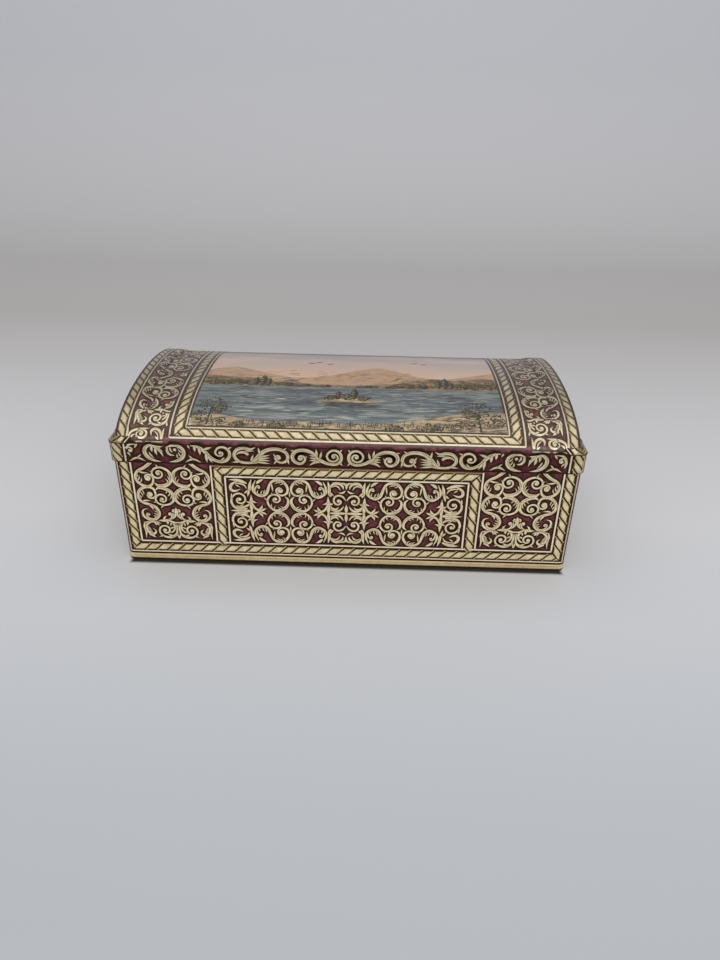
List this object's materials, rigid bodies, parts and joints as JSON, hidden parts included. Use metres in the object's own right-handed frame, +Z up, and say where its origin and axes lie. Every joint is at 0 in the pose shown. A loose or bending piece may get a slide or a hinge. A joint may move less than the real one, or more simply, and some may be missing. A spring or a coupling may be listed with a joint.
{
  "type": "confectionery tin",
  "caption": "Rectangular tinplate box for Turkish delight with a vaulted lid hinged on a wire at the back.",
  "frame": {"origin": "centre of the box's footprint, on the surface it stands on", "axes": "+X along the box's length to the right, +Y to the hinge at the back, +Z up"},
  "size_m": [0.2258, 0.1196, 0.0842],
  "materials": {
    "printed_tin": "satin lacquer",
    "printed_lid": "satin lacquer",
    "plain_tin": "gold lacquer",
    "strap_tin": "gold lacquer",
    "wire": "drawn wire"
  },
  "bodies": {
    "box": {"body_wall": "printed_tin", "base_plate": "plain_tin", "hinge_strap_left": "strap_tin", "hinge_strap_right": "strap_tin"},
    "lid": {"lid_vault": "printed_lid", "lid_end_left": "printed_tin", "lid_end_right": "printed_tin", "hinge_wire": "wire"}
  },
  "joints": [
    {"name": "lid_hinge", "type": "hinge", "parent": "box", "child": "lid", "pos_m": [0, 0.059, 0.05815], "axis": [-1, 0, 0], "range_deg": [0, 118]}
  ]
}
